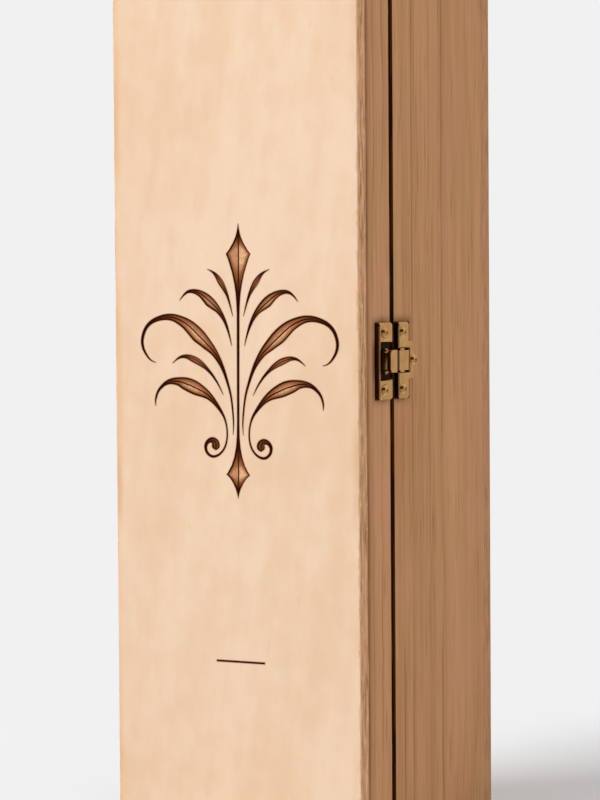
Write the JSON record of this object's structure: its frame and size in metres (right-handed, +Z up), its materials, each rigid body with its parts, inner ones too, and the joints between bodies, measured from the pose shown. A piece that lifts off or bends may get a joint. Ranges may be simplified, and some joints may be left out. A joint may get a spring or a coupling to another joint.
{
  "type": "wooden bottle box",
  "caption": "Tall wooden gift box for a bottle: finger-jointed base tray and lid tray with plywood panels, hinged on the left, held shut by a brass hook clasp on the right.",
  "frame": {"origin": "middle of the box's bottom face, which stands on the table", "axes": "+Z up along the box's height, -Y towards the front panel, +X towards the clasp"},
  "size_m": [0.1094, 0.1, 0.35],
  "materials": {
    "plywood": "pale sanded plywood",
    "pine": "sanded softwood with upright grain",
    "brass": "polished brass"
  },
  "bodies": {
    "base": {"back_panel": "plywood", "base_left_side": "pine", "base_right_side": "pine", "base_top_end": "pine", "base_bottom_end": "pine", "upper_hinge_base_leaf": "brass", "upper_hinge_pin": "brass", "lower_hinge_base_leaf": "brass", "lower_hinge_pin": "brass", "hinge_base_screws": "brass", "catch_plate": "brass", "catch_screws": "brass"},
    "lid": {"front_panel": "plywood", "lid_left_rail": "pine", "lid_right_rail": "pine", "lid_top_rail": "pine", "lid_bottom_rail": "pine", "upper_hinge_lid_leaf": "brass", "lower_hinge_lid_leaf": "brass", "hinge_lid_screws": "brass", "latch_plate": "brass", "latch_pin": "brass", "latch_screws": "brass"},
    "latch_lever": {"latch_lever": "brass"}
  },
  "joints": [
    {"name": "lid_hinge", "type": "hinge", "parent": "base", "child": "lid", "pos_m": [-0.05235, -0.0259, 0.175], "axis": [0, 0, -1], "range_deg": [0, 180]},
    {"name": "latch_pivot", "type": "hinge", "parent": "lid", "child": "latch_lever", "pos_m": [0.0522, -0.0352, 0.175], "axis": [0, 0, -1], "range_deg": [0, 75]}
  ]
}
